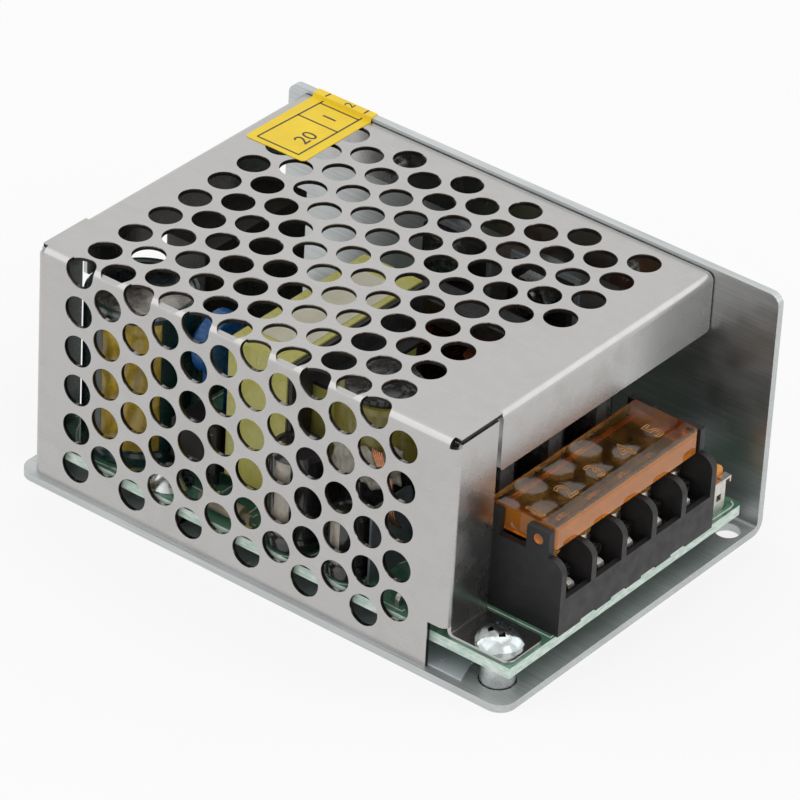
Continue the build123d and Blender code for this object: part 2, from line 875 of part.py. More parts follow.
# Transformer: two E-shaped ferrite halves, bobbin with pins, taped winding and core tape
core_x, core_y = core_at
core_z = board_top + core_lift
core_mid_z = core_z + core_h / 2
coil_z = (core_z + core_leg + bobbin_margin, core_z + core_h - core_leg - bobbin_margin)
coil_l = core_w + 2 * coil_reach
with BuildPart() as transformer_core:
    with BuildSketch(Plane.YZ.offset(core_x - core_w / 2)):
        with Locations((core_y, core_mid_z)):
            Rectangle(core_l, core_h)
        window = (core_l - 2 * core_leg - core_mid_leg) / 2
        window_y = core_mid_leg / 2 + window / 2
        with Locations((core_y - window_y, core_mid_z), (core_y + window_y, core_mid_z)):
            Rectangle(window, core_h - 2 * core_leg, mode=Mode.SUBTRACT)
    extrude(amount=core_w)
save(transformer_core, "transformer_core")

tube_in = (core_w + play, core_mid_leg + play)
tube_out = (tube_in[0] + 2 * bobbin_t, tube_in[1] + 2 * bobbin_t)
foot_low = board_top + 0.8
with BuildPart() as transformer_bobbin:
    for z in (coil_z[0] - bobbin_margin, coil_z[1]):
        with BuildSketch(Plane.XY.offset(z)):
            with Locations((core_x, core_y)):
                Rectangle(coil_l, coil_w - 2 * play)
                Rectangle(*tube_in, mode=Mode.SUBTRACT)
        extrude(amount=bobbin_margin)
    with BuildSketch(Plane.XY.offset(coil_z[0])):
        with Locations((core_x, core_y)):
            Rectangle(*tube_out)
            Rectangle(*tube_in, mode=Mode.SUBTRACT)
    extrude(amount=coil_z[1] - coil_z[0])
    # feet that carry the pins, in front of and behind the core
    for side in (-1, 1):
        with Locations((core_x + side * (coil_l - bobbin_foot_w) / 2, core_y, foot_low)):
            foot_h = coil_z[0] - bobbin_margin - foot_low
            Box(bobbin_foot_w, coil_w - 2 * play, foot_h, align=(Align.CENTER, Align.CENTER, Align.MIN))
        with Locations((core_x + side * (coil_l - bobbin_foot_w) / 2, core_y, board_top)):
            with GridLocations(0, coil_w / 4, 1, 4):
                Box(lead_d, lead_d, foot_low - board_top, align=(Align.CENTER, Align.CENTER, Align.MIN))
save(transformer_bobbin, "transformer_bobbin")

with BuildPart() as transformer_winding:
    with BuildSketch(Plane.XY.offset(coil_z[0])):
        with Locations((core_x, core_y)):
            RectangleRounded(coil_l - 2 * play, coil_w - 4 * play, 2.0)
            Rectangle(*tube_out, mode=Mode.SUBTRACT)
    extrude(amount=coil_z[1] - coil_z[0])
save(transformer_winding, "transformer_winding")

with BuildPart() as transformer_tape:
    with BuildSketch(Plane.YZ.offset(core_x - core_w / 2 + 0.1)):
        with Locations((core_y, core_mid_z)):
            Rectangle(core_l + 2 * tape_t, core_h + 2 * tape_t)
            Rectangle(core_l, core_h, mode=Mode.SUBTRACT)
    extrude(amount=tape_w)
save(transformer_tape, "transformer_tape")

# Output inductor: upright ferrite drum on a high foot, with its taped winding
with BuildPart() as inductor_core:
    with Locations((*inductor_at, board_top)):
        Cylinder(inductor_flange_r, inductor_foot_h, align=(Align.CENTER, Align.CENTER, Align.MIN))
        Cylinder(inductor_core_r, inductor_h, align=(Align.CENTER, Align.CENTER, Align.MIN))
    with Locations((*inductor_at, board_top + inductor_h - inductor_flange_t)):
        Cylinder(inductor_flange_r, inductor_flange_t, align=(Align.CENTER, Align.CENTER, Align.MIN))
save(inductor_core, "inductor_core")

winding_h = inductor_h - inductor_foot_h - inductor_flange_t
with BuildPart() as inductor_winding:
    with Locations((*inductor_at, board_top + inductor_foot_h)):
        Cylinder(inductor_r, winding_h, align=(Align.CENTER, Align.CENTER, Align.MIN))
        chamfer(inductor_winding.edges().filter_by(GeomType.CIRCLE), length=0.6)
        Cylinder(
            inductor_core_r,
            winding_h,
            align=(Align.CENTER, Align.CENTER, Align.MIN),
            mode=Mode.SUBTRACT,
        )
save(inductor_winding, "inductor_winding")


def disc_part(radius, thick, lift):
    """Coated disc standing on two legs, its flat faces along X."""
    with BuildPart() as disc:
        with BuildSketch(Plane.YZ.offset(-thick / 2)):
            with Locations((0, lift + radius)):
                Circle(radius)
        extrude(amount=thick)
        chamfer(disc.edges().filter_by(GeomType.CIRCLE), length=thick * 0.25)
        for side in (-1, 1):
            with Locations((0, side * radius / 2, 0)):
                Box(lead_d, lead_d, lift + radius / 2, align=(Align.CENTER, Align.CENTER, Align.MIN))
    return disc.part


# Disc capacitor and disc thermistor on their legs
with BuildPart() as safety_capacitor:
    with Locations((*disc_at, board_top)):
        add(disc_part(disc_r, disc_t, disc_lift))
save(safety_capacitor, "safety_capacitor")

with BuildPart() as thermistor:
    with Locations((*thermistor_at, board_top)):
        add(disc_part(thermistor_r, thermistor_t, thermistor_lift))
save(thermistor, "thermistor")

# Line filter: film capacitor and common-mode choke
with BuildPart() as line_capacitor:
    with Locations((*box_at, board_top)):
        Box(*box_size, align=(Align.CENTER, Align.CENTER, Align.MIN))
    fillet(line_capacitor.edges().filter_by(Axis.Z), radius=0.8)
save(line_capacitor, "line_capacitor")

choke_x, choke_y = choke_at
choke_ring_h = choke_h - choke_base_t
with BuildPart() as choke_core:
    with BuildSketch(Plane.XZ.offset(-choke_y - choke_core_t / 2)):
        with Locations((choke_x, board_top + choke_base_t + choke_ring_h / 2)):
            Rectangle(choke_l, choke_ring_h)
            Rectangle(choke_l - 2 * choke_leg, choke_ring_h - 2 * choke_leg, mode=Mode.SUBTRACT)
    extrude(amount=choke_core_t)
save(choke_core, "choke_core")

choke_low = board_top + choke_base_t + choke_leg + play
choke_high = board_top + choke_h - choke_leg - play
with BuildPart() as choke_windings:
    with BuildSketch(Plane.XY.offset(choke_low)):
        with Locations((choke_x, choke_y)):
            with GridLocations(choke_l - choke_leg, 0, 2, 1):
                RectangleRounded(choke_coil_w, choke_w, choke_coil_r)
                Rectangle(choke_leg + play, choke_core_t + play, mode=Mode.SUBTRACT)
    extrude(amount=choke_high - choke_low)
save(choke_windings, "choke_windings")

with BuildPart() as choke_base:
    with Locations((choke_x, choke_y, board_top)):
        Box(
            choke_l + 2 * choke_base_margin,
            choke_w,
            choke_base_t,
            align=(Align.CENTER, Align.CENTER, Align.MIN),
        )
save(choke_base, "choke_base")

# Bridge rectifier, upright, with one bevelled corner
bridge_l, bridge_w, bridge_h = bridge_size
bridge_lead_pitch = (bridge_l - 2 * bridge_lead_inset) / 3
with BuildPart() as bridge_rectifier:
    with BuildSketch(Plane.XZ.offset(-bridge_at[1] - bridge_w / 2)) as bridge_face:
        with Locations((bridge_at[0], board_top + bridge_lift + bridge_h / 2)):
            Rectangle(bridge_l, bridge_h)
        chamfer(bridge_face.vertices().group_by(Axis.Y)[-1].sort_by(Axis.X)[0], length=bridge_bevel)
    extrude(amount=bridge_w)
    with Locations((*bridge_at, board_top)):
        with GridLocations(bridge_lead_pitch, 0, 4, 1):
            Box(lead_d, lead_t, bridge_lift, align=(Align.CENTER, Align.CENTER, Align.MIN))
save(bridge_rectifier, "bridge_rectifier")

# Fuse: small round pot
with BuildPart() as fuse:
    with Locations((*fuse_at, board_top)):
        Cylinder(fuse_r, fuse_h, align=(Align.CENTER, Align.CENTER, Align.MIN))
    chamfer(fuse.faces().sort_by(Axis.Z)[-1].edges(), length=0.5)
save(fuse, "fuse")

# Optocoupler: four-pin package
with BuildPart() as optocoupler:
    opto_x, opto_y = opto_at
    opto_l, opto_w, opto_h = opto_size
    with Locations((opto_x, opto_y, board_top + 0.6)):
        Box(opto_l, opto_w, opto_h, align=(Align.CENTER, Align.CENTER, Align.MIN))
    for side_x in (-1, 1):
        for side_y in (-1, 1):
            with Locations((opto_x + side_x * 1.27, opto_y + side_y * (opto_w / 2 + 0.2), board_top)):
                Box(0.9, 0.4, 2.2, align=(Align.CENTER, Align.CENTER, Align.MIN))
save(optocoupler, "optocoupler")

# Resistors lying along X
with BuildPart() as resistors:
    for x, y in resistors_at:
        with BuildSketch(Plane.YZ.offset(x - resistor_l / 2)):
            with Locations((y, board_top + resistor_r)):
                Circle(resistor_r)
        extrude(amount=resistor_l)
        for side in (-1, 1):
            low_x = x + side * (resistor_l / 2 + 1.0)
            with Locations((x + side * (resistor_l / 2 + 0.5), y, board_top + resistor_r)):
                Box(1.6, lead_d, lead_d)
            with Locations((low_x, y, board_top)):
                Box(lead_d, lead_d, resistor_r + lead_d / 2, align=(Align.CENTER, Align.CENTER, Align.MIN))
save(resistors, "resistors")

# Bare wire bridges
with BuildPart() as jumper_wires:
    for (x, y), span in jumpers:
        extrude(
            sheet_section(
                Plane.YZ.offset(x),
                [
                    (y, board_top),
                    (y, board_top + 1.0),
                    (y + span, board_top + 1.0),
                    (y + span, board_top),
                ],
                Side.LEFT,
                lead_d,
                0.4,
            ),
            amount=lead_d,
        )
save(jumper_wires, "jumper_wires")

# Power devices against the far wall: pads, packages and nuts
pad_face = wall_y - pad_t
tab_face = pad_face - device_tab_t
body_face = pad_face - device_body_t
device_z = board_top + device_lift


def power_device(x):
    """Three-lead power package: tab against the pad, moulded body, leads joggled in to the board."""
    lead_y = pad_face - device_body_t / 2
    board_y = board_far - 2.0
    near_x, far_x = x - device_w / 2, x + device_w / 2
    with BuildPart() as device:
        add(box_between((near_x, tab_face, device_z), (far_x, pad_face, device_z + device_tab_h)))
        add(box_between((near_x, body_face, device_z), (far_x, tab_face, device_z + device_body_h)))
        with BuildSketch(Plane.XZ.offset(-pad_face)):
            with Locations((x, device_hole_z)):
                Circle(device_hole_d / 2)
        extrude(amount=device_tab_t, mode=Mode.SUBTRACT)
        for i in (-1, 0, 1):
            extrude(
                sheet_section(
                    Plane.YZ.offset(x + i * lead_pitch - lead_d / 2),
                    [
                        (board_y, board_top),
                        (board_y, board_top + 1.4),
                        (lead_y, board_top + 2.8),
                        (lead_y, device_z + 0.2),
                    ],
                    Side.LEFT,
                    lead_t,
                    0.4,
                ),
                amount=lead_d,
            )
    return device.part


with BuildPart() as switching_transistor:
    add(power_device(device_x[0]))
save(switching_transistor, "switching_transistor")

with BuildPart() as output_rectifier:
    add(power_device(device_x[1]))
save(output_rectifier, "output_rectifier")

with BuildPart() as insulating_pads:
    for x in device_x:
        with BuildSketch(Plane.XZ.offset(-wall_y)):
            with Locations((x, device_z + device_tab_h / 2)):
                Rectangle(device_w + 2 * pad_margin, device_tab_h + 2 * pad_margin)
            with Locations((x, device_hole_z)):
                Circle(device_hole_d / 2, mode=Mode.SUBTRACT)
        extrude(amount=pad_t)
save(insulating_pads, "insulating_pads")

with BuildPart() as device_nuts:
    for x in device_x:
        with BuildSketch(Plane.XZ.offset(-tab_face)):
            with Locations((x, device_hole_z)):
                RegularPolygon(nut_w / 2, 6, major_radius=False)
                Circle(screw_d / 2, mode=Mode.SUBTRACT)
        extrude(amount=nut_h)
save(device_nuts, "device_nuts")
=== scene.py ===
"""Look of an enclosed power supply: materials, printing, wires, stage and camera."""

import bmesh
import bpy
import numpy as np
from mathutils import Matrix, Vector


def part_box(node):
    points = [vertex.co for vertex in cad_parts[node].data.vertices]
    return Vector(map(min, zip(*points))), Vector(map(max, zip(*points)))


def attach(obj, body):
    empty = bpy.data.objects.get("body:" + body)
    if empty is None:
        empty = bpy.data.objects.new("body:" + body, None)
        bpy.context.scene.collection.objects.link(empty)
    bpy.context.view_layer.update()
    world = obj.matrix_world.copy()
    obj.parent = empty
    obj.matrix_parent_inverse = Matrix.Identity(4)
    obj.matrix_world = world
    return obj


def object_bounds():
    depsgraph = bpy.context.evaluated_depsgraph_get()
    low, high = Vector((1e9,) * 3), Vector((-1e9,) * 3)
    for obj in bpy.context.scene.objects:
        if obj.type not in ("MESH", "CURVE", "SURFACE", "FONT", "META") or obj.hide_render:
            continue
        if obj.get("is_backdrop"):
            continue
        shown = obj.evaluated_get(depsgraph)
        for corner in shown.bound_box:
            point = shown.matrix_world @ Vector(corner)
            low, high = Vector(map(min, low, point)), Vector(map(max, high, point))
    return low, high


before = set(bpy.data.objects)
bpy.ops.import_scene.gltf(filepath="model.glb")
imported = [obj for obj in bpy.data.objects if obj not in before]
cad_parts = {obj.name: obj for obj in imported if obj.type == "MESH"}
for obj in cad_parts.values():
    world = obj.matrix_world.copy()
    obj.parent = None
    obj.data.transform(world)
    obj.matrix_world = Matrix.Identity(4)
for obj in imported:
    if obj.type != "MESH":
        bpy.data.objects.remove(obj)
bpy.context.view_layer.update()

# Chassis: base and far wall, one folded sheet of aluminium, its faces brushed and cleaned before folding.
# Its scratches run along the sheet, and the level base, which few hands reach, is duller than the wall.
mm = 0.001


def linear(code):
    """Linear RGBA of an sRGB hex colour."""
    parts = [int(code[i:i + 2], 16) / 255 for i in (0, 2, 4)]
    return [c / 12.92 if c <= 0.04045 else ((c + 0.055) / 1.055) ** 2.4 for c in parts] + [1.0]


def add(mat, kind, inputs=None, to=None, out=0, **settings):
    """Adds one shader node and returns its output. Of its inputs, a socket is linked, a text is an sRGB hex
    colour and the rest are set; to names the Principled socket that the output feeds."""
    tree = mat.node_tree
    made = tree.nodes.new("ShaderNode" + kind)
    for key, value in settings.items():
        setattr(made, key, value)
    for key, value in (inputs or {}).items():
        if isinstance(value, bpy.types.NodeSocket):
            tree.links.new(value, made.inputs[key])
        else:
            made.inputs[key].default_value = linear(value) if isinstance(value, str) else value
    if to:
        tree.links.new(made.outputs[out], tree.nodes["Principled BSDF"].inputs[to])
    return made.outputs[out]


def substance(name, colour, **sockets):
    """A named Principled material; its sockets are set by name, with spaces as underscores."""
    mat = bpy.data.materials.new(name)
    mat.use_nodes = True
    shader = mat.node_tree.nodes["Principled BSDF"]
    shader.inputs["Base Color"].default_value = linear(colour)
    for key, value in sockets.items():
        shader.inputs[key.replace("_", " ")].default_value = value
    mat.diffuse_color = linear(colour)
    return mat


def mottle(mat, size, low, high, stretch=(1, 1, 1), seed=0.0, detail=3.0, span=(0.32, 0.68), to=None):
    """Soft patches about size mm across, fixed to the piece: noise whose span is mapped to low and high."""
    place = add(mat, "TexCoord", out="Object")
    place = add(mat, "Mapping", {"Vector": place, "Scale": stretch, "Location": (seed, seed, seed)})
    cloud = add(mat, "TexNoise", {"Vector": place, "Scale": 1 / (size * mm), "Detail": detail})
    ends = {"Value": cloud, "From Min": span[0], "From Max": span[1], "To Min": low, "To Max": high}
    return add(mat, "MapRange", ends, to=to)


def part_of(mat, kind, out, axis):
    """One axis of a place (TexCoord, Object) or of a direction (NewGeometry, True Normal)."""
    return add(mat, "SeparateXYZ", {"Vector": add(mat, kind, out=out)}, out=axis)


def overlap(mat, *shares):
    """Product of several masks or plain shares: 1 only where every mask is 1."""
    whole = shares[0]
    for share in shares[1:]:
        whole = add(mat, "Math", {0: whole, 1: share}, operation="MULTIPLY")
    return whole


def within(mat, value, low, high, soft):
    """1 where the value lies between low and high, fading to 0 over soft outside them."""
    rise = add(mat, "MapRange", {"Value": value, "From Min": low - soft, "From Max": low})
    fall = add(mat, "MapRange", {"Value": value, "From Min": high, "From Max": high + soft,
                                 "To Min": 1.0, "To Max": 0.0})
    return overlap(mat, rise, fall)


def upright(mat):
    """1 on faces that stand upright, 0 on level ones."""
    return within(mat, part_of(mat, "NewGeometry", "True Normal", "Z"), -0.6, 0.6, 0.1)


def dress(mat, *names):
    """Gives CAD nodes their material."""
    for name in names:
        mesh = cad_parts[name].data
        mesh.materials.clear()
        mesh.materials.append(mat)


def brushed_aluminium():
    """Brushed aluminium: scratches 0.25 mm apart, drawn coarser than the real ones so that they show, long
    along X, with soft grey stains from handling."""
    mat = substance("brushed_aluminium", "c8cac9", Metallic=1.0, Roughness=0.46)
    scratches = mottle(mat, 0.25, 0.0, 1.0, (0.02, 1, 1), 2.0, 2.0)
    stains = mottle(mat, 6.0, 0.0, 0.35, (0.5, 1, 1), 5.0, 4.0)
    tone = add(mat, "Mix", {0: scratches, 6: "bcbfbf", 7: "d0d3d3"}, out=2, data_type="RGBA")
    add(mat, "Mix", {0: stains, 6: tone, 7: "a3a7a6"}, out=2, to="Base Color", data_type="RGBA")
    wall = mottle(mat, 4.0, 0.40, 0.48, seed=3.0)
    floor = mottle(mat, 4.0, 0.56, 0.64, seed=4.0)
    add(mat, "Mix", {0: upright(mat), 2: floor, 3: wall}, to="Roughness", data_type="FLOAT")
    add(mat, "Bump", {"Height": scratches, "Distance": 0.004 * mm}, to="Normal")
    return mat


dress(brushed_aluminium(), "chassis")


# Standoffs, screws and nuts: turned and cold-headed steel, bright zinc plate over it.
# The plate mirrors the room softly, and the cut cross of a head is painted dark and faintly blue, as shade in
# its recess.
def bright_plate(name, colour, low, high, seed, head=None):
    """Bright zinc, nickel or tin: gloss that wanders over 0.7 mm. Where head gives the middle of a screw's
    top, the cross cut in it is painted dark and faintly blue, as shade in the recess: the metal less than
    1.6 mm from there and more than 0.4 mm lower."""
    mat = substance(name, colour, Metallic=1.0, Roughness=(low + high) / 2)
    mottle(mat, 0.7, low, high, seed=seed, to="Roughness")
    tone = mottle(mat, 1.1, 0.0, 0.5, seed=seed + 2)
    surface_tone = add(mat, "Mix", {0: tone, 6: colour, 7: "a9aaa6"}, out=2, data_type="RGBA")
    if head is not None:
        place = add(mat, "TexCoord", out="Object")
        away = add(mat, "VectorMath", {0: place, 1: head}, out="Value", operation="DISTANCE")
        near = within(mat, away, 0.0, 1.6 * mm, 0.05 * mm)
        deep = within(mat, part_of(mat, "TexCoord", "Object", "Z"), 0.0, head[2] - 0.4 * mm, 0.05 * mm)
        cross = overlap(mat, deep, near)
        # Painted shade in the recess of the cross, faintly blue.
        surface_tone = add(mat, "Mix", {0: cross, 6: surface_tone, 7: "4a5a62"}, out=2, data_type="RGBA")
    tree = mat.node_tree
    tree.links.new(surface_tone, tree.nodes["Principled BSDF"].inputs["Base Color"])
    add(mat, "Bump", {"Height": mottle(mat, 0.35, 0, 1, seed=seed), "Distance": 0.002 * mm}, to="Normal")
    return mat


low, high = np.array(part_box("cover_screw"))
head = (*(low[:2] + high[:2]) / 2, high[2])
dress(bright_plate("zinc_plate", "ccd0d1", 0.20, 0.34, 0.0), "board_screws", "flange_screws", "device_screws",
      "device_nuts", "board_standoffs")
dress(bright_plate("zinc_plated_head", "ccd6d6", 0.12, 0.22, 8.0, head), "cover_screw")


# Insulating film: clear polyester sheet laid on the base under the board.
# It is smooth, a little wavy, and faintly blue against the metal.
def clear_sheet(name, colour, clear, rough, wave, depth, seed):
    """Thin clear plastic film: smooth, with waves wave mm apart and depth mm deep that catch the light."""
    mat = substance(name, colour, Roughness=rough, Transmission_Weight=clear)
    mottle(mat, 3.0, rough - 0.05, rough + 0.08, seed=seed, to="Roughness")
    add(mat, "Bump", {"Height": mottle(mat, wave, 0, 1, seed=seed), "Distance": depth * mm}, to="Normal")
    return mat


dress(clear_sheet("polyester_film", "dde6ea", 0.25, 0.2, 6.0, 0.1, 0.0), "insulation_film")


# Circuit board: glass-epoxy laminate, copper tracks under green solder resist, printed in white.
# The resist is glossy and steps up over the tracks; the sawn edge is bare pale laminate with long fibres.
def solder_resist():
    """Green resist on the level faces, lighter over tracks 3 mm wide; streaked laminate on the sawn edge."""
    mat = substance("solder_resist", "568a70", Roughness=0.24, Coat_Weight=0.5, Coat_Roughness=0.06)
    tracks = mottle(mat, 3.2, 0, 1, seed=4.0, detail=1.0, span=(0.49, 0.51))
    resist = add(mat, "Mix", {0: tracks, 6: "4d7c65", 7: "618f78"}, out=2, data_type="RGBA")
    fibres = mottle(mat, 0.6, 0, 1, (0.4, 0.4, 1.3), 1.0, 4.0)
    laminate = add(mat, "Mix", {0: fibres, 6: "a8c6b6", 7: "dfeae2"}, out=2, data_type="RGBA")
    add(mat, "Mix", {0: upright(mat), 6: resist, 7: laminate}, out=2, to="Base Color", data_type="RGBA")
    add(mat, "Bump", {"Height": tracks, "Distance": 0.03 * mm}, to="Normal")
    return mat


def grid_faces(rows, cols, rows_closed=False, cols_closed=False):
    """Quads between neighbouring points of a grid, whose last row or column may join the first."""
    i = np.arange(rows if rows_closed else rows - 1)[:, None]
    j = np.arange(cols if cols_closed else cols - 1)[None, :]
    i_next, j_next = (i + 1) % rows, (j + 1) % cols
    corners = (i * cols + j, i * cols + j_next, i_next * cols + j_next, i_next * cols + j)
    return np.stack(np.broadcast_arrays(*corners), axis=-1).reshape(-1, 4)


def carry(path, profile, upward=(0, 0, 1)):
    """A profile of (a, b) pairs carried along a path of points in millimetres. At each point, across is
    upward x direction as a unit, up is direction x across, and the surface is path + b * up + a * across / c,
    where c is the cosine of half the turn there. A path that ends where it starts is a ring, and an open one
    is closed at each end by a strip of quads across its profile."""
    path, profile = np.array(path, float), np.array(profile, float)
    ring = np.allclose(path[0], path[-1])
    path = path[:-1] if ring else path
    after = np.roll(path, -1, axis=0) - path
    after /= np.linalg.norm(after, axis=1, keepdims=True)
    before = np.roll(after, 1, axis=0)
    if not ring:
        before[0], after[-1] = after[0], before[-1]
    ahead = before + after
    ahead /= np.linalg.norm(ahead, axis=1, keepdims=True)
    across = np.cross(np.array(upward, float), ahead)
    across /= np.linalg.norm(across, axis=1, keepdims=True)
    up = np.cross(ahead, across)
    wide = across / (ahead * after).sum(axis=1, keepdims=True)
    points = path[:, None] + profile[:, :1] * wide[:, None] + profile[:, 1:] * up[:, None]
    rows, cols = points.shape[:2]
    faces = grid_faces(rows, cols, ring, True)
    if not ring:
        k = np.arange(cols // 2 - 1)
        end = np.stack([k, k + 1, cols - 2 - k, cols - 1 - k], axis=-1)
        faces = np.concatenate([faces, end[:, ::-1], end + (rows - 1) * cols])
    return points.reshape(-1, 3), faces


def joined(surfaces):
    """Several surfaces as one: points end to end, with the faces counted on from where each starts."""
    starts = np.cumsum([0] + [len(points) for points, _ in surfaces])
    faces = [start + part for start, (_, part) in zip(starts, surfaces)]
    return np.concatenate([points for points, _ in surfaces]), np.concatenate(faces)


def fit(name, mesh, mat, body, smooth):
    """Links a mesh as a piece that rides on a body, its doubles merged and its faces turned outwards."""
    merged = bmesh.new()
    merged.from_mesh(mesh)
    bmesh.ops.remove_doubles(merged, verts=merged.verts, dist=0.0001 * mm)
    bmesh.ops.recalc_face_normals(merged, faces=merged.faces)
    merged.to_mesh(mesh)
    merged.free()
    mesh.polygons.foreach_set("use_smooth", [smooth] * len(mesh.polygons))
    mesh.materials.clear()
    mesh.materials.append(mat)
    made = bpy.data.objects.new(name, mesh)
    bpy.context.scene.collection.objects.link(made)
    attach(made, body)


def piece(name, surface, mat, body="enclosure", smooth=False):
    """A piece from a surface's points, in millimetres, and faces."""
    mesh = bpy.data.meshes.new(name)
    points, faces = surface
    mesh.from_pydata((points * mm).tolist(), [], faces.tolist())
    fit(name, mesh, mat, body, smooth)


def bar(width, height, low=0.0):
    """Profile of a flat line: a rectangle centred on the path, standing on low."""
    half = width / 2
    return [(-half, low), (half, low), (half, low + height), (-half, low + height)]


def circle(x, y, radius, z):
    """Ring of points at height z: centre + radius * (cos, sin) of 36 equal turns."""
    turns = np.linspace(0, 2 * np.pi, 37)
    return np.stack([x + radius * np.cos(turns), y + radius * np.sin(turns), z + 0 * turns], axis=-1)


def printing_ink(name, colour, faded):
    """Screened ink: matt, a little thinner in patches 0.8 mm across."""
    mat = substance(name, colour, Roughness=0.5)
    thin = mottle(mat, 0.8, 0, 1)
    add(mat, "Mix", {0: thin, 6: colour, 7: faded}, out=2, to="Base Color", data_type="RGBA")
    mottle(mat, 0.8, 0.45, 0.6, to="Roughness")
    return mat


dress(solder_resist(), "circuit_board")
board_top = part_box("circuit_board")[1][2] / mm
ink_high = 0.02
print_line = bar(0.22, ink_high)
# Outline 0.6 mm outside each of the square parts, which stops short of the board's front edge
print_end = 41.1
outlines = []
for node in ("transformer_bobbin", "line_capacitor", "choke_base", "bridge_rectifier", "optocoupler",
             "terminal_housing"):
    low, high = np.array(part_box(node)) / mm
    x0, y0, x1, y1 = low[0] - 0.6, low[1] - 0.6, min(high[0] + 0.6, print_end), high[1] + 0.6
    outlines.append([(x0, y0), (x1, y0), (x1, y1), (x0, y1), (x0, y0)])
# Ticks and part outlines beside the small parts, as lines of (x, y)
outlines += [
    [(-6.4, -24.3), (-6.4, -21.1), (-7.3, -17.8)],
    [(-5.3, -21.9), (-5.4, -24.1), (-3.8, -24.2)],
    [(-5.2, -20.2), (-1.8, -20.1)],
    [(-1.9, -24.0), (0.3, -24.0)],
    [(2.9, -23.8), (4.2, -23.8), (4.4, -22.7)],
    [(5.1, -24.9), (5.2, -23.0)],
    [(8.4, -25.2), (9.1, -25.2)],
    [(9.4, -26.1), (9.5, -24.1)],
    [(9.5, -26.6), (12.4, -26.6), (12.4, -25.4)],
    [(19.3, -26.5), (23.0, -26.6), (23.1, -26.0)],
    [(-21.6, -24.4), (-18.6, -24.6)],
    [(-12.1, -24.5), (-8.6, -24.6)],
    [(-27.6, -26.6), (-24.6, -26.6)],
    [(-36.4, -25.6), (-34.6, -24.6), (-33.4, -25.9)],
    [(40.8, 18.4), (40.9, 22.4), (40.7, 23.3), (40.0, 23.8)],
]
# Rings round the round parts, whose centres are (x, y), and one small ring at a wire's hole
input_can, small_can, low_can = (-29.3, -18.2), (2.1, -23.1), (12.0, -24.3)
output_cans = [(21.4, -9.2), (21.4, 1.4), (21.4, 12.0)]
inductor = (9.6, -15.2)
wire_hole = (14.6, -23.2)
rings = [(input_can, 8.6), (small_can, 4.3), (low_can, 3.0), (inductor, 7.0)]
rings += [(can, 5.5) for can in output_cans] + [(wire_hole, 0.5)]
runs = [[(x, y, board_top) for x, y in run] for run in outlines]
runs += [circle(*centre, radius, board_top) for centre, radius in rings]
white_ink = printing_ink("white_ink", "e2e8df", "bcc8bd")
piece("board_print", joined([carry(run, print_line) for run in runs]), white_ink)
# Row of broad dashes beside the terminal block's near end
dash_y, dash_long = -19.6, 1.0
dashes = [carry([(x, dash_y, board_top), (x + dash_long, dash_y, board_top)], bar(0.45, ink_high))
          for x in (33.4, 35.4, 39.0)]
piece("board_dashes", joined(dashes), white_ink)


# Terminal block: black moulded housing on the board's edge, with a plated clamp, contact and screw in
# each way. The moulding is semi-matt and holds a little dust; the plate is nickel, warmer than zinc.
def moulded(name, colour, dust, rough, seed):
    """Moulded plastic: the spark-eroded grain of its mould, drawn at 0.13 mm, coarser than the real one so
    that it shows, with wandering dust and a few pale specks."""
    mat = substance(name, colour, Roughness=rough, Specular_IOR_Level=0.4)
    mottle(mat, 2.0, rough - 0.08, rough + 0.1, seed=seed, detail=4.0, to="Roughness")
    dusty = mottle(mat, 1.6, 0, 0.5, seed=seed + 2, detail=4.0, span=(0.4, 0.75))
    surface_tone = add(mat, "Mix", {0: dusty, 6: colour, 7: dust}, out=2, data_type="RGBA")
    specks = mottle(mat, 0.35, 0, 0.4, seed=seed + 1, detail=2.0, span=(0.75, 0.80))
    add(mat, "Mix", {0: specks, 6: surface_tone, 7: "8d8378"}, out=2, to="Base Color", data_type="RGBA")
    add(mat, "Bump", {"Height": mottle(mat, 0.13, 0, 1, seed=seed), "Distance": 0.014 * mm}, to="Normal")
    return mat


dress(moulded("phenolic_moulding_black", "201f20", "2b2828", 0.46, 0.0), "terminal_housing",
      "transformer_bobbin", "choke_base")
nickel = bright_plate("nickel_plate", "ddd9cf", 0.16, 0.34, 1.0)
dress(nickel, "terminal_clamps", "terminal_screws", "terminal_contacts")
# Turned-down front lip of each contact, 1.1 mm wide, which shows at the mouth of its way
ways, way_pitch, first_lip = 5, 6.45, -12.95
bend = [(38.5, 12.05), (39.5, 12.05), (39.9, 11.85), (40.0, 11.4)]
lips = [carry([(x, first_lip + way_pitch * way, z) for x, z in bend], bar(1.1, 0.25)) for way in range(ways)]
piece("contact_lips", joined(lips), bright_plate("solder_dip", "f2efe8", 0.45, 0.6, 14.0))


# Trimmer: open carbon track on a phenolic plate, under a folded bracket of tinned strip with its wiper.
# The paper-based plate is orange-brown and matt, and mottled by its fibres.
def fibre_sheet(name, low, high, rough, size, depth, seed=0.0):
    """Paper or resin-bonded paper: its tone wanders between two over the size of its fibre clumps."""
    mat = substance(name, high, Roughness=rough)
    clumps = mottle(mat, size, 0, 1, seed=seed, detail=4.0)
    add(mat, "Mix", {0: clumps, 6: low, 7: high}, out=2, to="Base Color", data_type="RGBA")
    mottle(mat, size * 2, rough - 0.05, rough + 0.08, seed=seed, to="Roughness")
    add(mat, "Bump", {"Height": clumps, "Distance": depth * mm}, to="Normal")
    return mat


dress(fibre_sheet("phenolic_paper", "dc8426", "f0a648", 0.42, 0.7, 0.01), "trimmer_base")
dress(bright_plate("tinned_strip", "dedad0", 0.28, 0.45, 2.0), "trimmer_bracket", "trimmer_wiper",
      "jumper_wires")


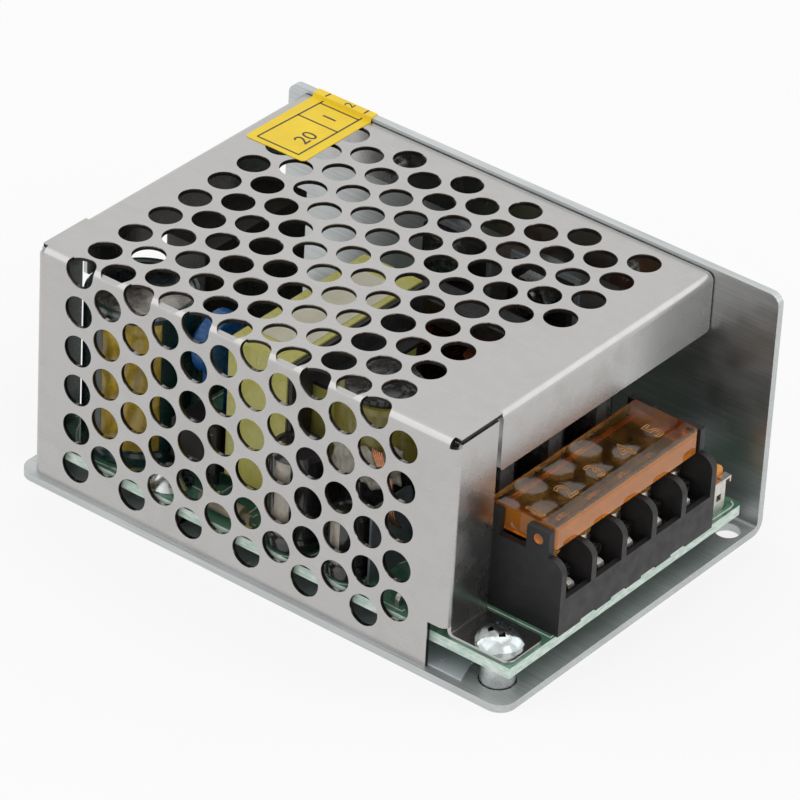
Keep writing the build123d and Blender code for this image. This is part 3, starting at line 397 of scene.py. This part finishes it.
# Electrolytic capacitors: aluminium cans in shrunk sleeves of glossy vinyl, printed down one side.
# The sleeve laps over the rim and leaves the pressed aluminium of the top bare.
def coated(name, colour, rough, seed=0.0, wave=0.03):
    """Glossy vinyl, lacquer or dipped resin: soft waves of 2.4 mm, wave mm deep, under a clear skin."""
    mat = substance(name, colour, Roughness=rough, Coat_Weight=0.4, Coat_Roughness=0.1)
    mottle(mat, 1.6, rough - 0.06, rough + 0.08, seed=seed, to="Roughness")
    add(mat, "Bump", {"Height": mottle(mat, 2.4, 0, 1, seed=seed), "Distance": wave * mm}, to="Normal")
    return mat


def shrunk_sleeve(name, colour, seed, top, metal, shade, turn):
    """Sleeve, with bare aluminium on the level faces just below its rim, which is at height top. The metal's
    colour is painted bright on its near front side and painted dark on the far one, as a reflection of the
    shaded inside, and turns where x - y passes turn mm."""
    mat = coated(name, colour, 0.26, seed)
    x, y, z = (part_of(mat, "TexCoord", "Object", axis) for axis in "XYZ")
    inside = within(mat, z, (top - 0.6) * mm, (top - 0.18) * mm, 0.03 * mm)
    level = add(mat, "Math", {0: 1.0, 1: upright(mat)}, operation="SUBTRACT")
    bare = add(mat, "Math", {0: inside, 1: level}, to="Metallic", operation="MULTIPLY")
    side = add(mat, "Math", {0: x, 1: y}, operation="SUBTRACT")
    # The far side of the bare top is painted dark: a painted reflection of the shaded inside of the case.
    painted_dark_side = within(mat, side, -1.0, (turn - 2.0) * mm, 3.5 * mm)
    painted_shade_top = add(mat, "Mix", {0: painted_dark_side, 6: metal, 7: shade}, out=2, data_type="RGBA")
    add(mat, "Mix", {0: bare, 6: colour, 7: painted_shade_top}, out=2, to="Base Color", data_type="RGBA")
    return mat


def shell(outer, inner):
    """Closed sheet between two grids of points that face each other, with a rim round its four sides."""
    rows, cols = outer.shape[:2]
    front = grid_faces(rows, cols)
    index = np.arange(rows * cols).reshape(rows, cols)
    edge = np.concatenate([index[0, :-1], index[:-1, -1], index[-1, :0:-1], index[:0:-1, 0]])
    behind = rows * cols
    rim = np.stack([np.roll(edge, -1), edge, edge + behind, np.roll(edge, -1) + behind], axis=-1)
    faces = np.concatenate([front, front[:, ::-1] + behind, rim])
    return np.concatenate([outer.reshape(-1, 3), inner.reshape(-1, 3)]), faces


def wrapped(centre, radius, heights, angles):
    """Printed area on a round can: a grid of angle and height round the centre, 0.03 mm outside and inside
    its radius."""
    turns, levels = np.meshgrid(np.radians(np.linspace(*angles, 33)), np.linspace(*heights, 9))
    round_can = [np.stack([centre[0] + r * np.cos(turns), centre[1] + r * np.sin(turns), levels], axis=-1)
                 for r in (radius + 0.03, radius - 0.03)]
    return shell(*round_can)


def metallic_print(name, low, high, seed):
    """Gold or silver print on a sleeve: mottled over 1 mm, where it has taken unevenly."""
    mat = coated(name, high, 0.3, seed)
    uneven = mottle(mat, 1.0, 0, 1, (1, 1, 0.5), seed, 5.0)
    add(mat, "Mix", {0: uneven, 6: low, 7: high}, out=2, to="Base Color", data_type="RGBA")
    return mat


# Each can's bare top is painted from its metal colour to its shade colour: painted reflection and shade.
dress(shrunk_sleeve("vinyl_sleeve_teal", "17302e", 0.0, 30.6, "b3aea6", "3c4448", -11.0), "input_capacitor")
dress(shrunk_sleeve("vinyl_sleeve_black", "18181a", 1.0, 26.6, "b4b6b8", "8f9193", 15.0), "output_capacitors")
dress(coated("vinyl_sleeve_small", "242224", 0.22, 2.0), "small_capacitors")
# Prints, by the can's radius, their heights and their angles round it
gold = metallic_print("gold_print", "8a7420", "c8a838", 9.0)
piece("input_print", wrapped(input_can, 8.0, (9.4, 29.4), (-92, -31)), gold, smooth=True)
pale = metallic_print("pale_print", "8f877b", "b3ab9d", 10.0)
piece("small_print", wrapped(small_can, 4.0, (9.5, 20.9), (-100, -66)), pale, smooth=True)
piece("small_print_low", wrapped(low_can, 2.9, (9.4, 16.0), (-112, -78)), pale, smooth=True)
grey = metallic_print("grey_print", "4c4e50", "626466", 12.0)
for count, can in enumerate(output_cans, start=1):
    printed = wrapped(can, 5.0, (9.5, 25.9), (-20, 12))
    piece(f"output_print_{count}", printed, grey, smooth=True)


# Transformer: ferrite core round a bobbin of wound wire, wrapped in yellow polyester tape, with a paper tag
# on top. Sintered ferrite is near black and matt; the tape is smooth, and shows the waves of what it covers.
def sintered_ferrite(name, rough, crumple=0.0):
    """Sintered ferrite: near-black grain of 0.8 mm; crumple is the depth of a clear film wrapped over it."""
    mat = substance(name, "2c2b2c", Roughness=rough)
    grain = mottle(mat, 0.8, 0, 1, detail=5.0)
    add(mat, "Mix", {0: grain, 6: "242324", 7: "3a393a"}, out=2, to="Base Color", data_type="RGBA")
    size, depth = (2.4, crumple) if crumple else (0.25, 0.02)
    folds = mottle(mat, size, 0, 1, seed=7.0, detail=1.5, span=(0.45, 0.55) if crumple else (0.3, 0.7))
    add(mat, "Bump", {"Height": folds, "Distance": depth * mm}, to="Normal")
    return mat


dress(sintered_ferrite("sintered_ferrite", 0.36), "transformer_core", "choke_core")
dress(coated("polyester_tape_yellow", "cfca6c", 0.28, 6.0, 0.05), "transformer_tape", "transformer_winding")
# Tag: a grid of x and y, its upper face waved by 0.03 mm, as the product of the cosines of 0.8 x and 0.3 y
tag_x, tag_y = np.meshgrid(np.linspace(-10.7, -3.0, 9), np.linspace(-17.2, 4.2, 17))
upper, lower = 31.39 + 0.03 * np.cos(tag_x * 0.8) * np.cos(tag_y * 0.3), 31.31 + 0 * tag_x
tag = shell(np.stack([tag_x, tag_y, upper], axis=-1), np.stack([tag_x, tag_y, lower], axis=-1))
paper = fibre_sheet("plain_paper", "d8d4be", "e4e0cc", 0.55, 3.0, 0.02, 11.0)
piece("transformer_paper", tag, paper)


# Output inductor: ferrite round a taped winding, wrapped in clear film that has been crumpled by hand.
# The wire leaves it as a flat bundle of enamelled strands, past the edge of a blue-grey fibre plate.
dress(sintered_ferrite("wrapped_ferrite", 0.12, 0.25), "inductor_core")
dress(coated("polyester_tape_olive", "857c30", 0.3, 7.0, 0.08), "inductor_winding")


def crumpled():
    """Film round the near side of the inductor: radius 6.85 mm, to which two waves of angle and height add
    0.22 and 0.16 mm, over heights of 19.0 to 24.6 mm that waver by 0.5 mm round it."""
    i, j = np.meshgrid(np.arange(41), np.arange(13))
    angle = np.radians(-119 + 91 * i / 40)
    height = 19.0 + 5.6 * j / 12 + 0.5 * np.sin(i * 0.4)
    fold = 0.22 * np.sin(i * 1.3 + j * 0.7) + 0.16 * np.sin(i * 0.55 - j * 1.2)
    x, y = inductor
    sides = [np.stack([x + (r + fold) * np.cos(angle), y + (r + fold) * np.sin(angle), height], axis=-1)
             for r in (6.85, 6.79)]
    return shell(*sides)


crumpled_film = clear_sheet("crumpled_film", "ddd8c8", 0.35, 0.14, 0.9, 0.12, 3.0)
piece("inductor_film", crumpled(), crumpled_film, smooth=True)


def softened(path):
    """A bent path with its corners cut: each of three passes puts points a quarter and three quarters
    along each side."""
    path = np.array(path, float)
    for _ in range(3):
        first, second = path[:-1], path[1:]
        cut = np.stack([0.75 * first + 0.25 * second, 0.25 * first + 0.75 * second], axis=1).reshape(-1, 3)
        path = np.concatenate([path[:1], cut, path[-1:]])
    return path


def round_section(radius, steps=8):
    """Profile of a round wire: radius * (cos, sin) of equal turns."""
    turns = np.linspace(0, 2 * np.pi, steps, endpoint=False)
    return radius * np.stack([np.cos(turns), np.sin(turns)], axis=-1)


# Five strands side by side, each 0.32 mm thick and 0.36 mm further on than the last
first_strand = np.array([(12.6, -20.9, 24.6), (13.8, -21.9, 24.0), (15.6, -22.6, 22.6), (16.2, -22.7, 20.4),
                         (16.4, -22.6, 17.0), (16.5, -21.0, 14.6)])
bundle = [carry(softened(first_strand + (0.36 * strand, 0, 0)), round_section(0.16), (0, 1, 0))
          for strand in range(5)]
copper = bright_plate("enamelled_copper", "c97f52", 0.2, 0.35, 5.0)
piece("output_strands", joined(bundle), copper, smooth=True)
# Plate: a grid of y and z, 0.35 mm thick. Its top falls in a straight line by 1.2 mm over the last 14 per
# cent of the way from its middle to each end
reach, rise = np.meshgrid(np.linspace(0, 1, 17), np.linspace(0, 1, 9))
plate_x, plate_y, plate_long, plate_top = 15.9, -24.6, 8.6, 18.3
top = plate_top - 1.2 * np.clip(np.abs(reach - 0.5) * 2 - 0.86, 0, 1) / 0.14
plate_z = board_top + (top - board_top) * rise
plate = [np.stack([x + 0 * reach, plate_y + plate_long * reach, plate_z], axis=-1)
         for x in (plate_x, plate_x - 0.35)]
fibre = fibre_sheet("vulcanised_fibre", "5a6268", "6b747a", 0.34, 2.2, 0.02, 13.0)
piece("barrier_plate", shell(*plate), fibre)


# Mains choke: two windings of enamelled wire on a ferrite ring, standing on a moulded base.
# The turns lie side by side, so the winding is ribbed, with painted shade in the gaps between the wires.
def wound_wire(name, colour, pitch):
    """Enamelled copper wire in level turns pitch mm apart: a sine of the height paints shade into the gaps.
    """
    mat = substance(name, colour, Metallic=1.0, Roughness=0.3)
    height = part_of(mat, "TexCoord", "Object", "Z")
    phase = add(mat, "Math", {0: height, 1: 2 * np.pi / (pitch * mm)}, operation="MULTIPLY")
    turns = add(mat, "Math", {0: phase}, operation="SINE")
    lit = add(mat, "MapRange", {"Value": turns, "From Min": -1.0, "From Max": 1.0})
    # The dark colour between the turns is painted shade.
    add(mat, "Mix", {0: lit, 6: "3a1f12", 7: colour}, out=2, to="Base Color", data_type="RGBA")
    mottle(mat, 0.7, 0.24, 0.42, to="Roughness")
    add(mat, "Bump", {"Height": lit, "Distance": 0.12 * mm}, to="Normal")
    return mat


dress(wound_wire("enamelled_turns", "8a4a2c", 0.6), "choke_windings")


# Smaller parts on the board: dipped and boxed capacitors, thermistor, rectifier, fuse, resistors, optocoupler
# and a bare bent lead, soldered through the laminate.
dress(coated("epoxy_dip_blue", "1d5f9e", 0.25, 3.0, 0.06), "safety_capacitor")
dress(coated("lacquer_beige", "9a8f7c", 0.4, 4.0, 0.06), "resistors")
dress(coated("silicone_dip_green", "2b2f2c", 0.3, 5.0, 0.06), "thermistor")
dress(moulded("polyester_box_dark", "262321", "302c29", 0.3, 8.0), "line_capacitor")
dress(moulded("epoxy_package", "1c1a1a", "262322", 0.36, 3.0), "bridge_rectifier", "switching_transistor",
      "output_rectifier")
dress(moulded("phenolic_moulding_brown", "2e221c", "3a2c22", 0.35, 6.0), "fuse")
dress(moulded("nylon_moulding_white", "d8d6cd", "c9c6ba", 0.5, 7.0), "optocoupler")
# Two lines printed on the rectifier's near face
marks = [carry([(-19.6, -22.0, 15.68), (-13.4, -22.0, 15.68)], bar(0.06, 0.15, -0.07)),
         carry([(-19.0, -22.0, 10.66), (-14.4, -22.0, 10.66)], bar(0.06, 0.12, -0.06))]
piece("rectifier_print", joined(marks), printing_ink("grey_ink", "8b8784", "6d6a68"))
# Bare lead 0.6 mm thick, bent down to the board
bent = [(-7.2, -16.4, 9.6), (-6.4, -16.9, 7.6), (-4.8, -17.8, 6.95), (-4.3, -18.9, 6.95), (-4.1, -20.8, 6.9),
        (-4.1, -21.1, 6.6)]
lead = carry(softened(bent), round_section(0.3, 12), (1, 0, 0))
tinned_wire = bright_plate("tinned_wire", "cfc6ae", 0.3, 0.45, 6.0)
piece("bare_lead", lead, tinned_wire, smooth=True)


# Power devices on the far wall: each is screwed flat against the sheet over a grey silicone pad.
# The pad is matt rubber, filled with a powder that carries the heat and mottles it.
dress(fibre_sheet("silicone_pad", "7f868b", "949a9f", 0.7, 0.4, 0.02), "insulating_pads")


# Perforated cover: satin aluminium sheet 0.6 mm thick, punched and then folded over the top, near side and
# ends. Its faces are rolled smooth, with faint lines and handling stains. The punch leaves the hole walls
# bright for about a quarter of their depth and torn below that, where the rougher torn metal is painted
# dark as shade.
def satin_aluminium():
    """Satin rolled aluminium: lines along X, drawn 0.14 mm apart, coarser than the real ones so that they
    show, stains of 7 mm, and rougher torn metal inside the holes, painted dark as shade, from 0.16 mm below
    the outer face."""
    mat = substance("satin_aluminium", "bbbab9", Metallic=1.0, Roughness=0.28)
    lines = mottle(mat, 0.14, 0, 1, (0.02, 1, 1), detail=2.0)
    marks = mottle(mat, 7.0, 0, 1, (0.7, 1, 1), 3.0, 4.0)
    spots = mottle(mat, 2.2, 0, 1, seed=8.0)
    handled = overlap(mat, marks, spots)
    ruled = add(mat, "Mix", {0: overlap(mat, lines, 0.22), 6: "bdbcbb", 7: "adaaa7"}, out=2, data_type="RGBA")
    aged = add(mat, "Mix", {0: overlap(mat, handled, 0.32), 6: ruled, 7: "aca7a1"}, out=2, data_type="RGBA")
    y, z = (part_of(mat, "TexCoord", "Object", axis) for axis in "YZ")
    normal_y, normal_z = (part_of(mat, "NewGeometry", "True Normal", axis) for axis in "YZ")
    # Faces that lie across the sheet, at the depth of the torn metal, which is painted dark as shade: below
    # the top and inside the near side
    in_top = overlap(mat, within(mat, z, 36.70 * mm, 37.24 * mm, 0.03 * mm),
                     within(mat, normal_z, -0.3, 0.3, 0.05))
    in_side = overlap(mat, within(mat, y, -28.14 * mm, -27.62 * mm, 0.03 * mm),
                      within(mat, normal_y, -0.3, 0.3, 0.05), within(mat, normal_z, -0.98, 0.98, 0.01))
    torn_and_shaded = add(mat, "Math", {0: in_top, 1: in_side}, operation="MAXIMUM")
    # The hole walls' colour is painted shade over the rougher torn metal.
    add(mat, "Mix", {0: torn_and_shaded, 6: aged, 7: "3b3532"}, out=2, to="Base Color", data_type="RGBA")
    gloss = add(mat, "MapRange", {"Value": handled, "To Min": 0.24, "To Max": 0.34})
    level = add(mat, "Math", {0: 1.0, 1: upright(mat)}, operation="SUBTRACT")
    foot = overlap(mat, within(mat, z, 0.0, 9 * mm, 1 * mm), level)
    rough = add(mat, "Mix", {0: foot, 2: gloss, 3: 0.16}, data_type="FLOAT")
    add(mat, "Mix", {0: torn_and_shaded, 2: rough, 3: 0.5}, to="Roughness", data_type="FLOAT")
    add(mat, "Bump", {"Height": lines, "Distance": 0.0012 * mm}, to="Normal")
    return mat


dress(satin_aluminium(), "perforated_cover")


# Date label: yellow polyester film with an adhesive back, over the fold between cover and wall.
# It is printed in black with a ruled table and plain numbers.
def lettering(name, text, high, thick, outlined):
    """Mesh of a plain number, solid or drawn as a raised outline."""
    font = bpy.data.curves.new(name, "FONT")
    font.body = text
    font.size = high / 0.7 * mm
    font.align_x = "CENTER"
    font.align_y = "CENTER"
    if outlined:
        font.fill_mode = "NONE"
        font.bevel_depth = thick * mm
    else:
        font.extrude = thick * mm / 2
    source = bpy.data.objects.new(name + "_source", font)
    bpy.context.scene.collection.objects.link(source)
    bpy.context.view_layer.update()
    mesh = bpy.data.meshes.new_from_object(source.evaluated_get(bpy.context.evaluated_depsgraph_get()))
    bpy.data.objects.remove(source)
    return mesh


def number(name, text, place, high, thick, mat, body="enclosure", outlined=False):
    """Number lying on a level face, reading from the terminal end: its top towards the back."""
    mesh = lettering(name, text, high, thick, outlined)
    x, y = Vector((0, 1, 0)), Vector((-1, 0, 0))
    turn = Matrix((x, y, x.cross(y))).transposed().to_4x4()
    mesh.transform(Matrix.Translation(Vector(place) * mm) @ turn)
    fit(name, mesh, mat, body, False)


dress(fibre_sheet("polyester_label", "e8c414", "f0d01e", 0.42, 5.0, 0.03), "date_label")
black_ink = printing_ink("black_ink", "2a2622", "3b3630")
# The label's face over the cover and over the wall's edge, and the lines of its table on both
top_z = 37.5
wall_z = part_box("date_label")[1][2] / mm
table = [
    [(-36.2, 13.8, top_z), (-28.9, 13.8, top_z), (-28.7, 27.5, top_z)],
    [(-36.2, 13.8, top_z), (-35.6, 27.5, top_z)],
    [(-35.9, 22.2, top_z), (-28.8, 22.2, top_z)],
    [(-35.7, 26.8, top_z), (-28.7, 26.8, top_z)],
    [(-35.6, 27.9, wall_z), (-35.5, 29.0, wall_z)],
    [(-28.7, 27.9, wall_z), (-28.7, 29.0, wall_z)],
]
ruling = bar(0.26, ink_high)
piece("label_lines", joined([carry(line, ruling) for line in table]), black_ink)
number("label_year", "20", (-30.9, 18.0, top_z + 0.01), 2.3, ink_high, black_ink)
number("label_first", "1", (-31.9, 24.4, top_z + 0.01), 2.3, ink_high, black_ink)
number("label_second", "2", (-31.5, 28.35, wall_z + 0.01), 1.5, ink_high, black_ink)


# Terminal cover: flap moulded in clear amber polycarbonate, hinged on two pins in the block's front ears.
# Its plate is clear. Its thick skirts gather light and look cloudier, and its numbers are raised outlines.
def amber_polycarbonate(name, plate, skirt, clear_plate, clear_skirt):
    """Amber polycarbonate: clear on level faces, cloudier and paler on the upright skirts and edges."""
    mat = substance(name, plate, Roughness=0.03, IOR=1.58, Transmission_Weight=1.0)
    stands = upright(mat)
    add(mat, "Mix", {0: stands, 6: plate, 7: skirt}, out=2, to="Base Color", data_type="RGBA")
    mottle(mat, 1.5, 0.01, 0.07, to="Roughness")
    clear = add(mat, "MapRange", {"Value": stands, "To Min": clear_plate, "To Max": clear_skirt})
    cloud = mottle(mat, 2.5, -0.03, 0.03)
    add(mat, "Math", {0: clear, 1: cloud}, to="Transmission Weight", operation="ADD", use_clamp=True)
    add(mat, "Bump", {"Height": mottle(mat, 2.6, 0, 1), "Distance": 0.003 * mm}, to="Normal")
    return mat


amber = amber_polycarbonate("amber_polycarbonate", "eeb25e", "ea9636", 0.96, 0.62)
dress(amber, "terminal_cover")
lid_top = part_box("terminal_cover")[1][2] / mm
pale_amber = amber_polycarbonate("amber_polycarbonate_raised", "d99a4a", "d99a4a", 0.35, 0.35)
first_number = (35.15, -14.9)
for way in range(ways):
    x, y = first_number[0], first_number[1] + way_pitch * way
    number(f"way_number_{way + 1}", str(way + 1), (x, y, lid_top), 3.0, 0.075, pale_amber,
           "cover_flap", outlined=True)
# Rib 0.4 mm wide under the plate, inside its back, near and far sides
rib_z = lid_top - 1.75
rib = carry([(36.8, -14.8, rib_z), (30.2, -14.8, rib_z), (30.2, 14.0, rib_z), (36.8, 14.0, rib_z)],
            bar(0.4, 0.53))
piece("cover_ribs", rib, amber, "cover_flap")


# Stage: white floor and background, and five square lamps round the object. To the camera, a mirror or
# glass both are nearly pure white, and they light the object less than they look.
stage_floor = bpy.data.materials.new("floor")
stage_floor.use_nodes = True
diffuse = add(stage_floor, "BsdfDiffuse", {"Color": (0.88, 0.88, 0.88, 1)})
glow = add(stage_floor, "Emission", {"Color": (1, 1, 1, 1), "Strength": 1.0})


def seen(mat):
    """1 for rays from the camera, a mirror or glass, 0 for light that a surface scatters."""
    camera_ray, glossy, glass = (add(mat, "LightPath", out=f"Is {kind} Ray") for kind in
                                 ("Camera", "Glossy", "Transmission"))
    either = add(mat, "Math", {0: camera_ray, 1: glossy}, operation="MAXIMUM")
    return add(mat, "Math", {0: either, 1: glass}, operation="MAXIMUM")


share = overlap(stage_floor, seen(stage_floor), 0.78)
mixed = add(stage_floor, "MixShader", {0: share, 1: diffuse, 2: glow})
stage_floor.node_tree.links.new(mixed, stage_floor.node_tree.nodes["Material Output"].inputs["Surface"])
ground = bpy.data.meshes.new("ground")
ground.from_pydata([(-3, -3, 0), (3, -3, 0), (3, 3, 0), (-3, 3, 0)], [], [(0, 1, 2, 3)])
ground.materials.append(stage_floor)
ground = bpy.data.objects.new("ground", ground)
ground.location.z = -0.00002
bpy.context.scene.collection.objects.link(ground)
ground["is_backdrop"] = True

world = bpy.data.worlds.new("studio")
bpy.context.scene.world = world
world.use_nodes = True
back = world.node_tree.nodes["Background"]
back.inputs["Color"].default_value = (1, 1, 1, 1)
strength = add(world, "MapRange", {"Value": seen(world), "To Min": 0.68, "To Max": 1.0})
world.node_tree.links.new(strength, back.inputs["Strength"])


def softbox(name, place, size, watts):
    """Square area lamp aimed at the middle of the object; place and size in metres."""
    lamp = bpy.data.lights.new(name, "AREA")
    lamp.energy = watts
    lamp.size = size
    made = bpy.data.objects.new(name, lamp)
    made.location = place
    made.rotation_mode = "QUATERNION"
    made.rotation_quaternion = (Vector((0, 0, 0.02)) - Vector(place)).to_track_quat("-Z", "Y")
    bpy.context.scene.collection.objects.link(made)


softbox("overhead", (0.0, 0.05, 0.9), 0.8, 1.3)
softbox("near_left", (-0.6, -0.65, 0.8), 1.3, 2.4)
softbox("far_right", (0.6, 0.74, 0.55), 0.9, 1.4)
softbox("back_end", (-0.8, -0.1, 0.16), 0.5, 1.0)
softbox("front_right", (0.75, -0.25, 0.45), 0.5, 0.6)


# Camera: its place, direction and lens were measured from the edges of the case in the photograph.
camera = bpy.data.objects.new("camera", bpy.data.cameras.new("camera"))
bpy.context.scene.collection.objects.link(camera)
right = Vector((0.7832, 0.6200, 0.0474))
forward = Vector((-0.5005, 0.6739, -0.5435)).normalized()
right = (right - forward * right.dot(forward)).normalized()
up = right.cross(forward)
camera.matrix_world = Matrix.Translation(Vector((389.43, -522.96, 438.91)) * mm) @ Matrix(
    (right, up, -forward)).transposed().to_4x4()
camera.data.lens = 259.0
camera.data.sensor_width = 36.0
camera.data.clip_start = 0.01
bpy.context.scene.camera = camera
bpy.context.scene.view_settings.view_transform = "Standard"

low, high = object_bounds()
